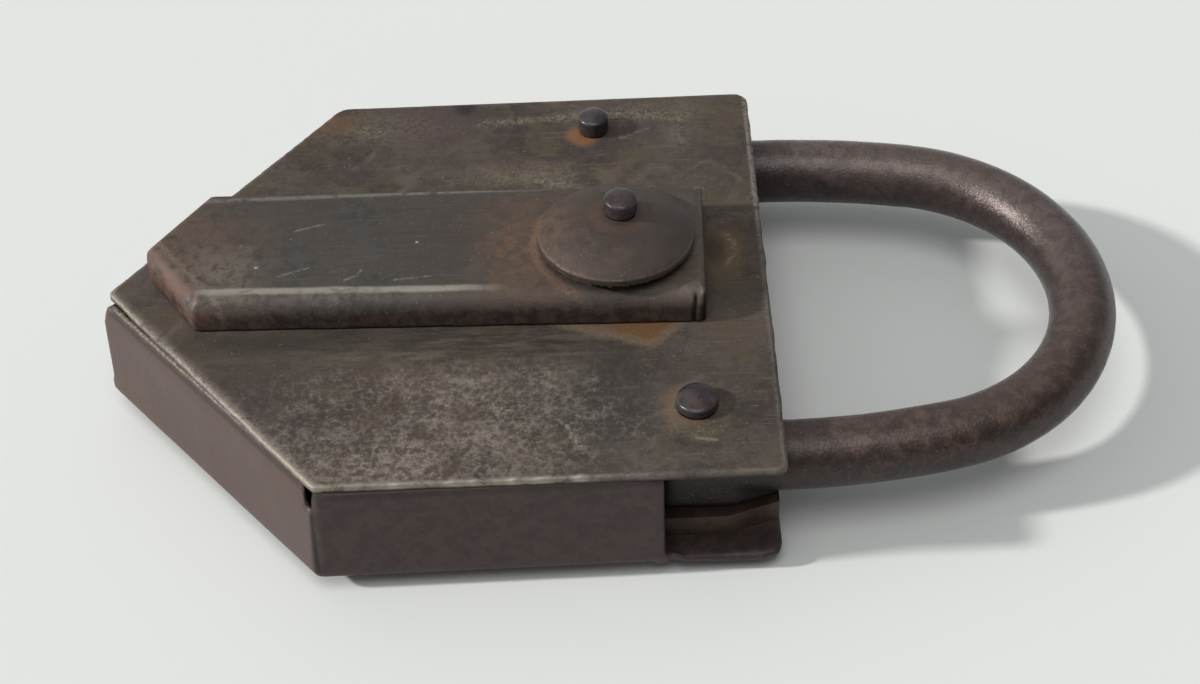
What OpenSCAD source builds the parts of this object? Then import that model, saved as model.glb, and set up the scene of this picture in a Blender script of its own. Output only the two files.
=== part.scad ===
// House-shaped iron padlock with a swinging keyhole cover and a shackle hinged on one rivet.
//
// Frame: +X runs from the tip to the shackle, +Y is the free-leg side, +Z is the front.
// The lock lies on its back on the peened tails of its rivets. Millimetres.

/* [Case] */
// Width of the case, without the swell of its far side
case_w = 96; // [90:1:102]
// How much further the far side of the case stands from the middle line
far_out = 0.9; // [0:0.1:1.2]
// Length of the case from its tip to the shackle end
case_len = 115; // [108:1:122]
// Length of the pointed part of the case
tip_len = 38.5; // [32:0.5:44]
// Height of the folded walls of the back tray
wall_h = 21; // [20.5:0.1:22]
// Thickness of the case sheet
sheet = 1.6; // [1.2:0.1:1.8]
// How far the bent-out tip of the tray stands past the front plate
tip_swell = 1.9; // [1:0.1:2.4]
// How far the tray's near corner bulges past the front plate
corner_swell = 0.6; // [0.3:0.1:1]
// Angle at which the wall on the near side of the tip leans in
tip_lean = 4; // [2:0.5:5]
// Outer radius of the folds between the back and its walls
fold_r = 2.4; // [2:0.1:3]
// Length of the side opening that lets the hinged leg swing out
side_open = 19.9; // [19.5:0.1:21]

/* [Shackle] */
// Diameter of the shackle bar
bar_d = 12; // [11:0.5:12.5]
// Distance between the centre lines of the two legs
leg_span = 72.8; // [71:0.2:74]
// Straight length of each leg outside the case
leg_out = 1; // [0.5:0.1:8]
// Radius of the long arcs that start the bend
side_arc_r = 131; // [90:1:140]
// Angle of each long arc
side_arc_a = 12.3; // [10:0.1:16]
// Height of the leg centre line above the back
leg_z = 12; // [11.8:0.1:12.4]
// Distance of the shackle's middle line from the case's, towards the free leg
leg_shift = 1.7; // [1.4:0.1:2]
// Length of the free leg inside the case
toe_in = 24.5; // [23:0.5:24.5]
// Radius of the forged eye at the hinge
eye_r = 8; // [7:0.5:8.5]

/* [Rivets] */
// Distance of the hinge rivet from the shackle end
hinge_in = 14; // [13.6:0.1:14.4]
// Distance of the hinge rivet from the centre line
hinge_off = 32.6; // [32.4:0.1:33.4]
// Shank radius of the hinge rivet
hinge_shank_r = 3; // [2.6:0.1:3.2]
// Distance of the cover rivet from the shackle end
pivot_in = 25.2; // [24.6:0.1:26]
// Shank radius of the cover rivet
pivot_shank_r = 2.4; // [2:0.1:2.6]
// Distance of the toe rivet from the shackle end
toe_rivet_in = 29.2; // [29:0.1:31]
// Height of the peened tails below the back
tail_h = 2.6; // [2:0.1:3]

/* [Keyhole cover] */
// Width of the swinging cover
cover_w = 29.4; // [28:0.2:30]
// Distance of the cover's middle line from its pivot
cover_off = 0.8; // [0:0.1:1.2]
// Length of the cover from its pivot to its tip
cover_reach = 83.2; // [78:0.2:84]
// Length of the pointed part of the cover
cover_tip_len = 10.2; // [9:0.2:12]
// Length of the cover past its pivot towards the shackle
cover_back = 14.3; // [13:0.1:15]
// Height of the cover above the front plate
cover_h = 6.4; // [6:0.1:7]
// Angle at which the cover hangs off the centre line
cover_tilt = -1.6; // [-3:0.1:0]
// Radius of the dished washer
washer_r = 13.5; // [12:0.1:13.6]
// Tilt of the dished washer, raised on the hinge side
washer_tilt = 3.2; // [0:0.1:4]
// Rise of the dished washer from rim to crown
washer_rise = 5; // [4:0.1:5.5]

/* [Lock work] */
// Distance of the key pin from the shackle end
key_in = 57; // [56:0.5:58]
// Radius swept by the key's bit
bit_r = 12; // [11:0.5:12.5]
// Width of the keyhole slot
slot_w = 4.6; // [4.4:0.1:5]
// Travel of the bolt
bolt_travel = 5.5; // [5:0.1:5.7]
// Thickness of the bolt
bolt_t = 4; // [3.5:0.1:4.2]

/* [Hidden] */
$fn = 64;

eps = 0.1;
far = 400;
tray_inset = 0.3;        // the front plate overhangs the tray by this much all round
running = 0.05;          // radial clearance of a part that turns or slides
snug = 0.02;             // radial clearance of a riveted hole
cover_sheet = 1.4;
cover_gap = 0.1;         // between the front plate and the edge of the cover
near_bend = 3.4;         // outer radius of the cover's worn bends on the hinge side

half_w = case_w / 2;
far_w = half_w + far_out;
bar_r = bar_d / 2;
leg_y = leg_span / 2;
hinged_y = leg_shift - leg_y;
free_y = leg_shift + leg_y;
plate_z = wall_h;
plate_top = plate_z + sheet;
straight_len = case_len - tip_len;

HINGE = [-hinge_in, -hinge_off];
PIVOT = [-pivot_in, 1];
TOE_RIVET = [-toe_rivet_in, 39.5];
TIP_RIVET = [-90, 1];
KEY = [-key_in, 0];

toe_shank_r = 2;
tip_shank_r = 2;
tip_flush = 1.6;         // how much wider the flush head is than its shank
key_pin_r = 1.9;
CASE = [[0, -half_w], [0, far_w], [-straight_len, far_w], [-case_len, 0], [-straight_len, -half_w]];
CASE_CORNERS = [2, 3, 4, 1.2, 1.2];
// The tray was bent by hand: its near corner and its tip stand out past the plate
TRAY = [[-tray_inset, -half_w + tray_inset], [-tray_inset, far_w - tray_inset],
        [-straight_len + 0.1, far_w - tray_inset], [-case_len - tip_swell, -1.25 * tip_swell],
        [-straight_len - 1.4, -half_w - corner_swell]];
TRAY_LEANS = [0, 0, 0, tip_lean, 0];
TRAY_BENDS = [for (p = TRAY) fold_r];

// Plan of the shackle: two straight legs, a long arc on each side and a crown arc
crown_r = side_arc_r - (side_arc_r - leg_y) / cos(side_arc_a);
crown_x = leg_out + (side_arc_r - crown_r) * sin(side_arc_a);
drawn = 0.05;            // the bar gets this much thinner from each leg to its arc, and again to the crown
arc_lap = 0.5;           // length by which a thinner stretch runs on inside the thicker one

// The origin is at the middle of the lock's length and width
shift_x = -(TRAY[3][0] + crown_x + crown_r + bar_r - 2 * drawn) / 2;
shift_y = (corner_swell - far_out) / 2;

// Shelves inside the case
block_top = leg_z - bar_r - 0.2;
bolt_z = leg_z - bolt_t / 2;
notch_depth = 5.2;
nose_w = 10;
nose_x = -20;                                    // left edge of the bolt's nose
nose_tip = free_y - bar_r - 0.8;                  // drawn back clear of the leg

// Cover in its own frame, with the pivot at the origin and the tip towards -X
cover_near = cover_off - cover_w / 2;
cover_far = cover_off + cover_w / 2;
COVER = [[cover_back, cover_near], [cover_back, cover_far], [-cover_reach + cover_tip_len, cover_far],
         [-cover_reach, cover_off / 2], [-cover_reach + cover_tip_len, cover_near]];
COVER_CORNERS = [0.6, 0.6, 1.5, 3, 1];
COVER_BENDS = [1.5, 2, 2, near_bend, near_bend];
cover_seam = 0.45;
cover_z = plate_top + cover_gap;
cover_top = plate_top + cover_h;
washer_lift = washer_r * sin(washer_tilt);
washer_z = cover_top + 0.08 + washer_lift;
washer_t = 1.2;
washer_bow_r = (pow(washer_r, 2) + pow(washer_rise, 2)) / (2 * washer_rise);
washer_top = washer_z + washer_rise + washer_t + 0.03;
washer_slip = -0.9;                              // the washer's hole is off its middle

IRON = [0.36, 0.32, 0.30];
BROWN = [0.27, 0.20, 0.18];
DARK = [0.20, 0.16, 0.15];
STEEL = [0.34, 0.33, 0.33];

// ---------- plan outlines ----------

function unit(v) = v / norm(v);
function corner_angle(a, p, b) = acos(unit(a - p) * unit(b - p));
function corner_trim(a, p, b, r) = r / tan(corner_angle(a, p, b) / 2);
function corner_centre(a, p, b, r) = p + unit(unit(a - p) + unit(b - p)) * r / sin(corner_angle(a, p, b) / 2);
function before(pts, i) = pts[(i + len(pts) - 1) % len(pts)];
function after(pts, i) = pts[(i + 1) % len(pts)];
function edge_angle(pts, i) = let (d = after(pts, i) - pts[i]) atan2(d[1], d[0]);

// A convex outline with each corner rounded to its own radius
module rounded_outline(pts, radii) {
    polygon([for (i = [0:len(pts) - 1])
        let (a = before(pts, i), p = pts[i], b = after(pts, i), t = corner_trim(a, p, b, radii[i]))
        each [p + unit(a - p) * t, p + unit(b - p) * t]]);
    for (i = [0:len(pts) - 1])
        translate(corner_centre(before(pts, i), pts[i], after(pts, i), radii[i])) circle(r = radii[i]);
}

// ---------- folded sheet ----------

// Section across one folded edge: the inside of the sheet is towards +X, the wall may lean in
module fold_section(r, h, lean) {
    intersection() {
        union() {
            translate([r, 0]) square([far, h]);
            translate([r, r]) {
                circle(r = r);
                rotate(-lean) translate([-r, 0]) square([far, h]);
            }
        }
        translate([-eps, 0]) square([far, h]);
    }
}

// A solid block whose sides follow an outline and whose lower edges are rounded
module folded_block(pts, leans, inset, bends, h) {
    intersection_for (i = [0:len(pts) - 1])
        translate(pts[i]) rotate(edge_angle(pts, i)) translate([-far / 2, inset, 0])
            rotate([90, 0, 90]) linear_extrude(far) fold_section(bends[i], h, leans[i]);
}

// A tray folded from one sheet, open at the top
module folded_tray(pts, leans, t, bends, h) {
    difference() {
        folded_block(pts, leans, 0, bends, h);
        translate([0, 0, t]) folded_block(pts, leans, t, [for (bend = bends) bend - t], h);
    }
}

// The open seam at corner i: narrow at the fold, wider at the rim on either side of the corner
module corner_seam(pts, i, low, h, rim_before, rim_after) {
    p = pts[i];
    into = unit(before(pts, i) - p) + unit(after(pts, i) - p);
    translate(p) rotate(atan2(into[1], into[0])) translate([-2, 0, 0]) rotate([90, 0, 90]) linear_extrude(8)
        polygon([[-0.12, low], [0.12, low], [rim_before, h + eps], [-rim_after, h + eps]]);
}

// The open seam where the wall after corner i butts against the inside of the wall before it
module butt_seam(pts, i, depth, low, h) {
    translate(pts[i]) rotate(edge_angle(pts, (i + len(pts) - 1) % len(pts)))
        translate([-6, depth, low]) cube([9, cover_seam, h]);
}

// ---------- fasteners ----------

// A forged button head with a slightly crowned top
module button_head(r, h, crown) {
    bow = (pow(r, 2) + pow(crown, 2)) / (2 * crown);
    rotate_extrude() intersection() {
        square([r, h]);
        translate([0, h - bow]) circle(r = bow, $fn = 128);
    }
}

// A tail hammered over below the back
module peened_tail(r) {
    translate([0, 0, -tail_h]) cylinder(h = tail_h, r1 = r * 0.7, r2 = r);
}

module rivet(p, shank_r, top, tail_r) {
    translate(p) {
        peened_tail(tail_r);
        cylinder(h = top, r = shank_r);
    }
}

module collar(p, hole_r, outer_r, low, high) {
    translate([p[0], p[1], low]) difference() {
        cylinder(h = high - low, r = outer_r);
        translate([0, 0, -eps]) cylinder(h = high - low + 2 * eps, r = hole_r);
    }
}

module drill(p, r) {
    translate([p[0], p[1], -eps]) cylinder(h = wall_h + sheet + 2 * eps, r = r);
}

// ---------- case ----------

module back_tray() {
    rim = wall_h - 0.1;
    lip_y = half_w - 0.7;
    end_y0 = hinged_y + bar_r + 1.4;
    end_y1 = free_y - bar_r - 3;
    color(BROWN) difference() {
        union() {
            difference() {
                folded_tray(TRAY, TRAY_LEANS, sheet, TRAY_BENDS, rim);
                // side opening for the hinged leg, with the corner of the end wall
                translate([-side_open, -half_w - 1, -eps]) cube([side_open + 1, half_w + end_y0 + 1, far]);
                // slot in the end wall for the free leg
                translate([-fold_r, end_y1, -eps])
                    cube([fold_r + 1, far_w - sheet - tray_inset - end_y1, far]);
            }
            floor_tongue(lip_y, end_y0 + 1);
            translate([-fold_r - 1, end_y1 - 1, 0])
                cube([fold_r + 1 - tray_inset, far_w - fold_r - tray_inset - end_y1 + 1, sheet]);
        }
        corner_seam(TRAY, 2, fold_r + 1, rim, 0.25, 0.25);
        corner_seam(TRAY, 4, fold_r + 3, rim, 1.5, 0.1);
        // the far wall of the tip stops short of the near one, whose top corner is worn round
        translate(TRAY[3]) rotate(edge_angle(TRAY, 3)) {
            translate([-3, sheet + 1.6, fold_r + 0.6]) cube([8, 0.35, far]);
            translate([0, 4, 0]) rotate([90, 0, 0]) linear_extrude(6) difference() {
                translate([-3, rim - 2.2]) square([5.2, 3]);
                translate([2.2, rim - 2.2]) circle(r = 2.2);
            }
        }
        for (p = [HINGE, TOE_RIVET, PIVOT, TIP_RIVET, KEY]) drill(p, shank_of(p) + snug);
        for (p = guide_tenons) translate([p[0], p[1], -eps]) cylinder(h = 3, r = tenon_r + snug);
        translate([spring_post_at[0], spring_post_at[1], -eps]) cylinder(h = 3, r = tenon_r + snug);
    }
}

// The back runs on flat under the hinged leg, where no wall is folded up from it
module floor_tongue(near, inner) {
    corner = 3;
    right = -tray_inset - corner;
    linear_extrude(sheet) {
        translate([-side_open - 2, -near]) square([side_open + 2 + right, near + inner]);
        translate([right - eps, -near + corner]) square([corner + eps, near - corner + inner]);
        translate([right, -near + corner]) circle(r = corner);
    }
}

function shank_of(p) = p == HINGE ? hinge_shank_r : p == PIVOT ? pivot_shank_r : p == KEY ? key_pin_r : 2;

module keyhole() {
    translate(KEY) circle(r = 4.2);
    translate([KEY[0] - bit_r - 0.4, -slot_w / 2]) square([bit_r + 0.4, slot_w]);
}

module front_plate() {
    flush_growth = tip_flush * eps / sheet;
    color(IRON) difference() {
        translate([0, 0, plate_z]) linear_extrude(sheet) difference() {
            rounded_outline(CASE, CASE_CORNERS);
            keyhole();
        }
        for (p = [HINGE, TOE_RIVET, PIVOT]) drill(p, shank_of(p) + snug);
        translate([TIP_RIVET[0], TIP_RIVET[1], plate_z - eps])
            cylinder(h = sheet + 2 * eps, r1 = tip_shank_r + snug - flush_growth,
                     r2 = tip_shank_r + tip_flush + snug + flush_growth);
    }
}

// ---------- shackle ----------

module bar_arc(x, y, r, from, sweep, section_r) {
    translate([x, leg_shift + y, leg_z]) rotate(from)
        rotate_extrude(angle = sweep) translate([r, 0]) circle(r = section_r);
}

module bar_straight(x0, x1, y) {
    translate([x0, y, leg_z]) rotate([0, 90, 0]) cylinder(h = x1 - x0, r = bar_r);
}

// The eye is forged round at the back and flat on the outside of the leg
module forged_eye() {
    low = block_top + 0.1;
    near = -hinge_off - eye_r;
    left = -hinge_in - eye_r - 0.4;
    translate([HINGE[0], HINGE[1], low]) cylinder(h = plate_z - block_top - 0.4, r = eye_r);
    translate([0, 0, low]) linear_extrude(leg_z + bar_r - 1 - low)
        rounded_outline([[left, near], [-8, near], [-1, near + 2.4], [-1, -hinge_off], [left, -hinge_off]],
                        [4, 6, 0.5, 0.5, 1]);
}

module shackle() {
    toe_chamfer = 1.2;
    side_lap = arc_lap / side_arc_r * 180 / PI;
    crown_lap = arc_lap / crown_r * 180 / PI;
    color(BROWN) difference() {
        union() {
            bar_straight(-hinge_in, leg_out, hinged_y);
            bar_straight(-toe_in + toe_chamfer, leg_out, free_y);
            translate([-toe_in, free_y, leg_z]) rotate([0, 90, 0])
                cylinder(h = toe_chamfer, r1 = bar_r - toe_chamfer, r2 = bar_r);
            bar_arc(leg_out, leg_y - side_arc_r, side_arc_r,
                    90 - side_arc_a, side_arc_a + side_lap, bar_r - drawn);
            bar_arc(leg_out, -leg_y + side_arc_r, side_arc_r,
                    -90 - side_lap, side_arc_a + side_lap, bar_r - drawn);
            bar_arc(crown_x, 0, crown_r,
                    side_arc_a - 90 - crown_lap, 180 - 2 * side_arc_a + 2 * crown_lap, bar_r - 2 * drawn);
            forged_eye();
        }
        translate([HINGE[0], HINGE[1], 0]) cylinder(h = far, r = hinge_shank_r + running);
        // notch that takes the bolt
        translate([nose_x - 0.6, free_y - bar_r - 1, leg_z - bar_r - 1])
            cube([nose_w + 1.2, notch_depth + 1, bar_d + 2]);
    }
}

module hinge_rivet() {
    color(DARK) {
        rivet(HINGE, hinge_shank_r, plate_top, 4.6);
        translate([HINGE[0], HINGE[1], plate_top]) button_head(3.6, 2.6, 0.8);
    }
}

module hinge_block() {
    near = -42.4;
    inner = -27.7;
    color(DARK) difference() {
        translate([0, 0, sheet]) linear_extrude(block_top - sheet)
            rounded_outline([[-23, near], [-9.4, near], [-0.6, near + 3], [-0.6, inner], [-23, inner]],
                            [1, 4, 0.6, 1, 1]);
        drill(HINGE, hinge_shank_r + snug);
    }
}

module toe_rivet() {
    color(DARK) {
        rivet(TOE_RIVET, toe_shank_r, plate_top, 3.8);
        translate([TOE_RIVET[0], TOE_RIVET[1], plate_top]) button_head(2.85, 3.9, 0.7);
    }
}

module toe_block() {
    color(DARK) difference() {
        translate([0, 0, sheet]) linear_extrude(block_top - 0.2 - sheet)
            rounded_outline([[-34, 32], [-3, 32], [-3, 45.2], [-34, 45.2]], [2, 1, 1, 2]);
        drill(TOE_RIVET, toe_shank_r + snug);
    }
}

module toe_collar() {
    color(STEEL) collar(TOE_RIVET, toe_shank_r + snug, 3.8, block_top - 0.2, plate_z);
}

// The head of this rivet is flush, so the cover can swing over it
module tip_rivet() {
    color(DARK) {
        rivet(TIP_RIVET, tip_shank_r, plate_z, 3.8);
        translate([TIP_RIVET[0], TIP_RIVET[1], plate_z])
            cylinder(h = sheet, r1 = tip_shank_r, r2 = tip_shank_r + tip_flush);
    }
}

module tip_collar() {
    color(STEEL) collar(TIP_RIVET, tip_shank_r + snug, 3.8, sheet, plate_z);
}

// ---------- keyhole cover ----------

module keyhole_cover() {
    h = cover_top - cover_z;
    color(IRON) translate(PIVOT) rotate(cover_tilt) translate([0, 0, cover_top]) difference() {
        mirror([0, 0, 1]) difference() {
            intersection() {
                folded_tray(COVER, [for (p = COVER) 0], cover_sheet, COVER_BENDS, h);
                linear_extrude(h) rounded_outline(COVER, COVER_CORNERS);
            }
            butt_seam(COVER, 1, cover_sheet, COVER_BENDS[1], far);
            // the near wall butts against the end wall
            translate([cover_back - cover_sheet - cover_seam, cover_near - 1, near_bend - 1])
                cube([cover_seam, cover_sheet + 2, far]);
        }
        translate([0, 0, -far / 2]) cylinder(h = far, r = pivot_shank_r + running);
    }
}

module cover_washer() {
    color(IRON) translate([PIVOT[0], PIVOT[1], washer_z]) difference() {
        translate([washer_slip, 0, 0]) rotate([-washer_tilt, 0, 0]) rotate_extrude($fn = 96) intersection() {
            translate([0, washer_rise - washer_bow_r]) difference() {
                circle(r = washer_bow_r + washer_t, $fn = 180);
                circle(r = washer_bow_r, $fn = 180);
            }
            square([washer_r, far]);
        }
        translate([0, 0, -washer_r]) cylinder(h = far, r = pivot_shank_r + snug);
    }
}

module cover_rivet() {
    color(DARK) {
        rivet(PIVOT, pivot_shank_r, washer_top, 4.2);
        translate([PIVOT[0], PIVOT[1], washer_top]) button_head(2.95, 3.6, 0.7);
    }
}

module lower_collar() {
    color(STEEL) collar(PIVOT, pivot_shank_r + snug, 5, sheet, bolt_z - running);
}

module upper_collar() {
    color(STEEL) collar(PIVOT, pivot_shank_r + snug, 5, bolt_z + bolt_t + running, plate_z);
}

// ---------- lock work ----------

// The bolt slides along +Y: its nose enters the free leg and the key works in its talon
bolt_left = -48.5;
bolt_right = nose_x + nose_w;
bolt_low = -10.5;
bolt_high = 8;
detent_y = -3;

module bolt() {
    talon_w = 7;
    color(STEEL) translate([0, 0, bolt_z]) linear_extrude(bolt_t) difference() {
        union() {
            translate([bolt_left, bolt_low]) square([bolt_right - bolt_left, bolt_high - bolt_low]);
            translate([nose_x, bolt_low]) square([nose_w, nose_tip - bolt_low]);
        }
        // slot over the cover rivet
        translate([PIVOT[0], PIVOT[1]]) circle(r = pivot_shank_r + running);
        translate([PIVOT[0], PIVOT[1] - bolt_travel]) circle(r = pivot_shank_r + running);
        translate([PIVOT[0] - pivot_shank_r - running, PIVOT[1] - bolt_travel])
            square([2 * (pivot_shank_r + running), bolt_travel]);
        // talon for the key's bit
        translate([bolt_left + 1.2, -bolt_travel / 2]) circle(r = talon_w / 2);
        translate([bolt_left - 1, -bolt_travel / 2 - talon_w / 2]) square([2.2, talon_w]);
        // two detents for the back spring
        for (y = [detent_y, detent_y - bolt_travel])
            translate([bolt_right, y]) rotate(45) square(1.7, center = true);
    }
}

tenon_r = 1.8;
guide_x0 = nose_x - 4.6;
guide_x1 = bolt_right + 3.4;
guide_tenons = [[guide_x0 + 2.4, 21], [guide_x1 - 2.2, 21]];

module bolt_guide() {
    color(DARK) {
        difference() {
            translate([guide_x0, 17.5, sheet])
                cube([guide_x1 - guide_x0, 6.5, bolt_z + bolt_t + 2.2 - sheet]);
            translate([nose_x - running, 17, bolt_z - running])
                cube([nose_w + 2 * running, 8, bolt_t + 2 * running]);
        }
        for (p = guide_tenons) translate(p) cylinder(h = sheet, r = tenon_r);
    }
}

spring_t = 0.9;
spring_bow_r = 62;
spring_h = 7;
spring_z = leg_z - spring_h / 2;
spring_y0 = detent_y;
spring_x = bolt_right + 0.75;                       // left face of the leaf at its belly
spring_post_at = [spring_x + 1.9 + spring_t / 2 - 0.02, spring_y0 + 15.5];

// A bowed leaf with a rounded bump that drops into the bolt's detents
module back_spring() {
    color(STEEL) translate([0, 0, spring_z]) linear_extrude(spring_h) {
        intersection() {
            translate([spring_x + spring_bow_r, spring_y0]) difference() {
                circle(r = spring_bow_r, $fn = 360);
                circle(r = spring_bow_r - spring_t, $fn = 360);
            }
            translate([spring_x - 2, spring_y0 - 17]) square([12, 34]);
        }
        translate([spring_x + 0.25, spring_y0]) circle(r = 0.85, $fn = 32);
    }
}

module spring_post() {
    post_r = 2.3;
    color(DARK) difference() {
        translate(spring_post_at) {
            cylinder(h = sheet, r = tenon_r);
            translate([0, 0, sheet]) cylinder(h = spring_z + spring_h - sheet, r = post_r);
        }
        translate([spring_x + spring_bow_r, spring_y0, spring_z - running]) rotate_extrude($fn = 360)
            translate([spring_bow_r - spring_t - running, 0]) square([spring_t + 2 * running, far]);
    }
}

module key_pin() {
    color(DARK) {
        rivet(KEY, key_pin_r, plate_top - 0.3, 3.6);
        translate([KEY[0], KEY[1], sheet]) cylinder(h = 2, r = 3.4);
    }
}

// A ring ward, open towards the tip where the bit drops in
module ward(low, h) {
    ward_r = 7.6;
    color(STEEL) translate([KEY[0], KEY[1], low]) difference() {
        cylinder(h = h, r = ward_r);
        translate([0, 0, -eps]) cylinder(h = h + 2 * eps, r = ward_r - 1.3);
        translate([-ward_r - 1, -3.4, -eps]) cube([ward_r + 1, 6.8, h + 2 * eps]);
    }
}

module lower_ward() ward(sheet, 4);

module upper_ward() ward(plate_z - 3.5, 3.5);

// ---------- the lock in its own frame ----------

module placed() {
    translate([shift_x, shift_y, tail_h]) children();
}

placed() back_tray();
placed() front_plate();
placed() shackle();
placed() hinge_rivet();
placed() hinge_block();
placed() toe_rivet();
placed() toe_block();
placed() toe_collar();
placed() tip_rivet();
placed() tip_collar();
placed() keyhole_cover();
placed() cover_washer();
placed() cover_rivet();
placed() lower_collar();
placed() upper_collar();
placed() bolt();
placed() bolt_guide();
placed() back_spring();
placed() spring_post();
placed() key_pin();
placed() lower_ward();
placed() upper_ward();
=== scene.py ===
"""A rusty iron padlock: worn skins, finishes, floor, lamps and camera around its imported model."""

import math

import bmesh
import bpy
import numpy as np
from mathutils import Matrix, Vector, noise


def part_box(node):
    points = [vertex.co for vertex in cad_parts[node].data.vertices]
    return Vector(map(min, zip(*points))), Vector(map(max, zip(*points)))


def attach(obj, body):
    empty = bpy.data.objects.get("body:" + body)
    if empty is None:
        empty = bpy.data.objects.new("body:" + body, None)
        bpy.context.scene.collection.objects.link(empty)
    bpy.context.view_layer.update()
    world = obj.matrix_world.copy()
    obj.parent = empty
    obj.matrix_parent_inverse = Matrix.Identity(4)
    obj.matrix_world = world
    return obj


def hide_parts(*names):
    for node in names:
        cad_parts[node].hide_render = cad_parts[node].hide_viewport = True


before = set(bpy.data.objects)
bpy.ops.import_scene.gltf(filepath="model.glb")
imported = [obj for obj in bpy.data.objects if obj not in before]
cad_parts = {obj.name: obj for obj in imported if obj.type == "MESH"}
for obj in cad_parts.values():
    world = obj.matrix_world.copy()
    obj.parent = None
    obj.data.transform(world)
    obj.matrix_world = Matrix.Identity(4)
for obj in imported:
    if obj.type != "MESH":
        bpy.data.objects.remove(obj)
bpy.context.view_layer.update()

MM = 0.001

# Middles of the hinge rivet, the toe rivet and the cover rivet in the case frame
HINGE = Vector((-14.0, -32.6))
TOE = Vector((-29.2, 39.5))
PIVOT = Vector((-25.2, 1.0))

# The case frame, in millimetres: x = 0 at the shackle end of the plate, y = 0 on its middle line
# with the hinge on the minus side, and z = 0 at the outer face of the back.
hinge_low, hinge_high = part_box("hinge_rivet")
ORIGIN = Vector((*((hinge_low + hinge_high) / 2).xy - HINGE * MM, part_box("back_tray")[0].z))


def case_box(node):
    """Lowest and highest corner of a CAD node in the case frame."""
    return tuple((corner - ORIGIN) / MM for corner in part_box(node))


PLATE_TOP = case_box("front_plate")[1].z
COVER_TOP = case_box("keyhole_cover")[1].z
RIM = case_box("back_tray")[1].z

# Corners of the plate and of the tray on the worn side of the tip
PLATE_TIP = Vector((-115.0, 0.0))
PLATE_NEAR = Vector((-76.5, -48.0))
TRAY_NEAR = Vector((-77.9, -48.6))

# Burrs along the plate's near edge: x, reach, height, and reach of the rubbed spot on each
BURRS = ((-54, 1.6, 0.22, 1.4), (-50.5, 1.1, 0.3, 0.9), (-44, 1.3, 0.4, 1.1),
         (-39.5, 1.8, 0.3, 1.5), (-33.5, 1.2, 0.25, 1.0), (-63, 1.5, 0.16, 1.2))

# Grooves where the cover's near wall butts against its end: x, half width, and half width of the
# dark line in each. They lean towards the shackle between two heights.
COVER_GROOVES = ((-13.4, 0.42, 0.35), (-11.7, 0.5, 0.45))
GROOVE_LEAN = 0.35
LEAN_LOW, LEAN_HIGH = 25, 28

DOUBLES = 0.002   # vertices of a CAD mesh closer than this are one, in millimetres
EDGE_SPREAD = 2   # how many rings of faces the rubbed edges reach over


# ---------------------------------------------------------------- worn skins


def even_skin(node, grid, passes):
    """A copy of a CAD node as one skin of small even faces, its sharp edges rounded over."""
    piece = bpy.data.objects.new("worn_" + node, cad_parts[node].data.copy())
    bpy.context.scene.collection.objects.link(piece)
    shape = bmesh.new()
    shape.from_mesh(piece.data)
    bmesh.ops.remove_doubles(shape, verts=shape.verts, dist=DOUBLES * MM)
    shape.to_mesh(piece.data)
    shape.free()
    skin = piece.modifiers.new("skin", "REMESH")
    skin.mode = "VOXEL"
    skin.voxel_size = grid * MM
    skin.use_smooth_shade = True
    result = piece.evaluated_get(bpy.context.evaluated_depsgraph_get())
    piece.data = bpy.data.meshes.new_from_object(result)
    piece.modifiers.clear()
    shape = bmesh.new()
    shape.from_mesh(piece.data)
    for _ in range(passes):
        bmesh.ops.smooth_vert(shape, verts=shape.verts, factor=0.5,
                              use_axis_x=True, use_axis_y=True, use_axis_z=True)
    shape.to_mesh(piece.data)
    shape.free()
    return piece


class Points:
    """The points of a skin in the case frame, moved together and written back once."""

    def __init__(self, mesh):
        self.mesh = mesh
        self.count = len(mesh.vertices)
        self.place = (self.read("co") - np.array(ORIGIN)) / MM
        self.facing = self.read("normal")

    def read(self, name):
        values = np.empty(self.count * 3)
        self.mesh.vertices.foreach_get(name, values)
        return values.reshape(-1, 3)

    def wander(self, size, seed):
        """Smooth noise between -1 and 1 whose lumps are about size millimetres across."""
        shift = Vector((seed, seed * 0.7, -seed * 1.3))
        return np.array([noise.noise(Vector(p) / size + shift) for p in self.place])

    def sink(self, depth):
        """Moves each point into the metal by its own depth."""
        self.place -= self.facing * np.clip(depth, 0, None)[:, None]

    def near(self, centre, reach):
        """1 at the centre and 0 from the reach on; each axis has its own reach."""
        away = np.linalg.norm((self.place - np.array(centre)) / np.array(reach), axis=1)
        return np.clip(1 - away, 0, 1) ** 2 * (1 + 2 * np.clip(away, 0, 1))

    def pull(self, centre, reach, offset):
        """Drags the metal round a centre by an offset, fading to nothing at the reach."""
        self.place += self.near(centre, reach)[:, None] * np.array(offset)

    def write(self):
        values = self.place * MM + np.array(ORIGIN)
        self.mesh.vertices.foreach_set("co", values.ravel())
        self.mesh.update()


def mark_edges(mesh):
    """Stores how far each point stands proud: above 0 on an edge, below 0 in a fold."""
    points = Points(mesh)
    pairs = np.empty(len(mesh.edges) * 2, int)
    mesh.edges.foreach_get("vertices", pairs)
    one, other = pairs.reshape(-1, 2).T
    run = points.place[other] - points.place[one]
    run /= np.linalg.norm(run, axis=1)[:, None] + 1e-9

    def gather(to_one, to_other):
        return np.bincount(one, to_one, points.count) + np.bincount(other, to_other, points.count)

    met = np.maximum(gather(np.ones(len(one)), np.ones(len(one))), 1)
    proud = gather(-(run * points.facing[one]).sum(1), (run * points.facing[other]).sum(1)) / met
    for _ in range(EDGE_SPREAD):
        proud = (proud + gather(proud[other], proud[one]) / met) / 2
    mark = mesh.attributes.new("proud", "FLOAT", "POINT")
    mark.data.foreach_set("value", proud.astype(np.float32))


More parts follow.
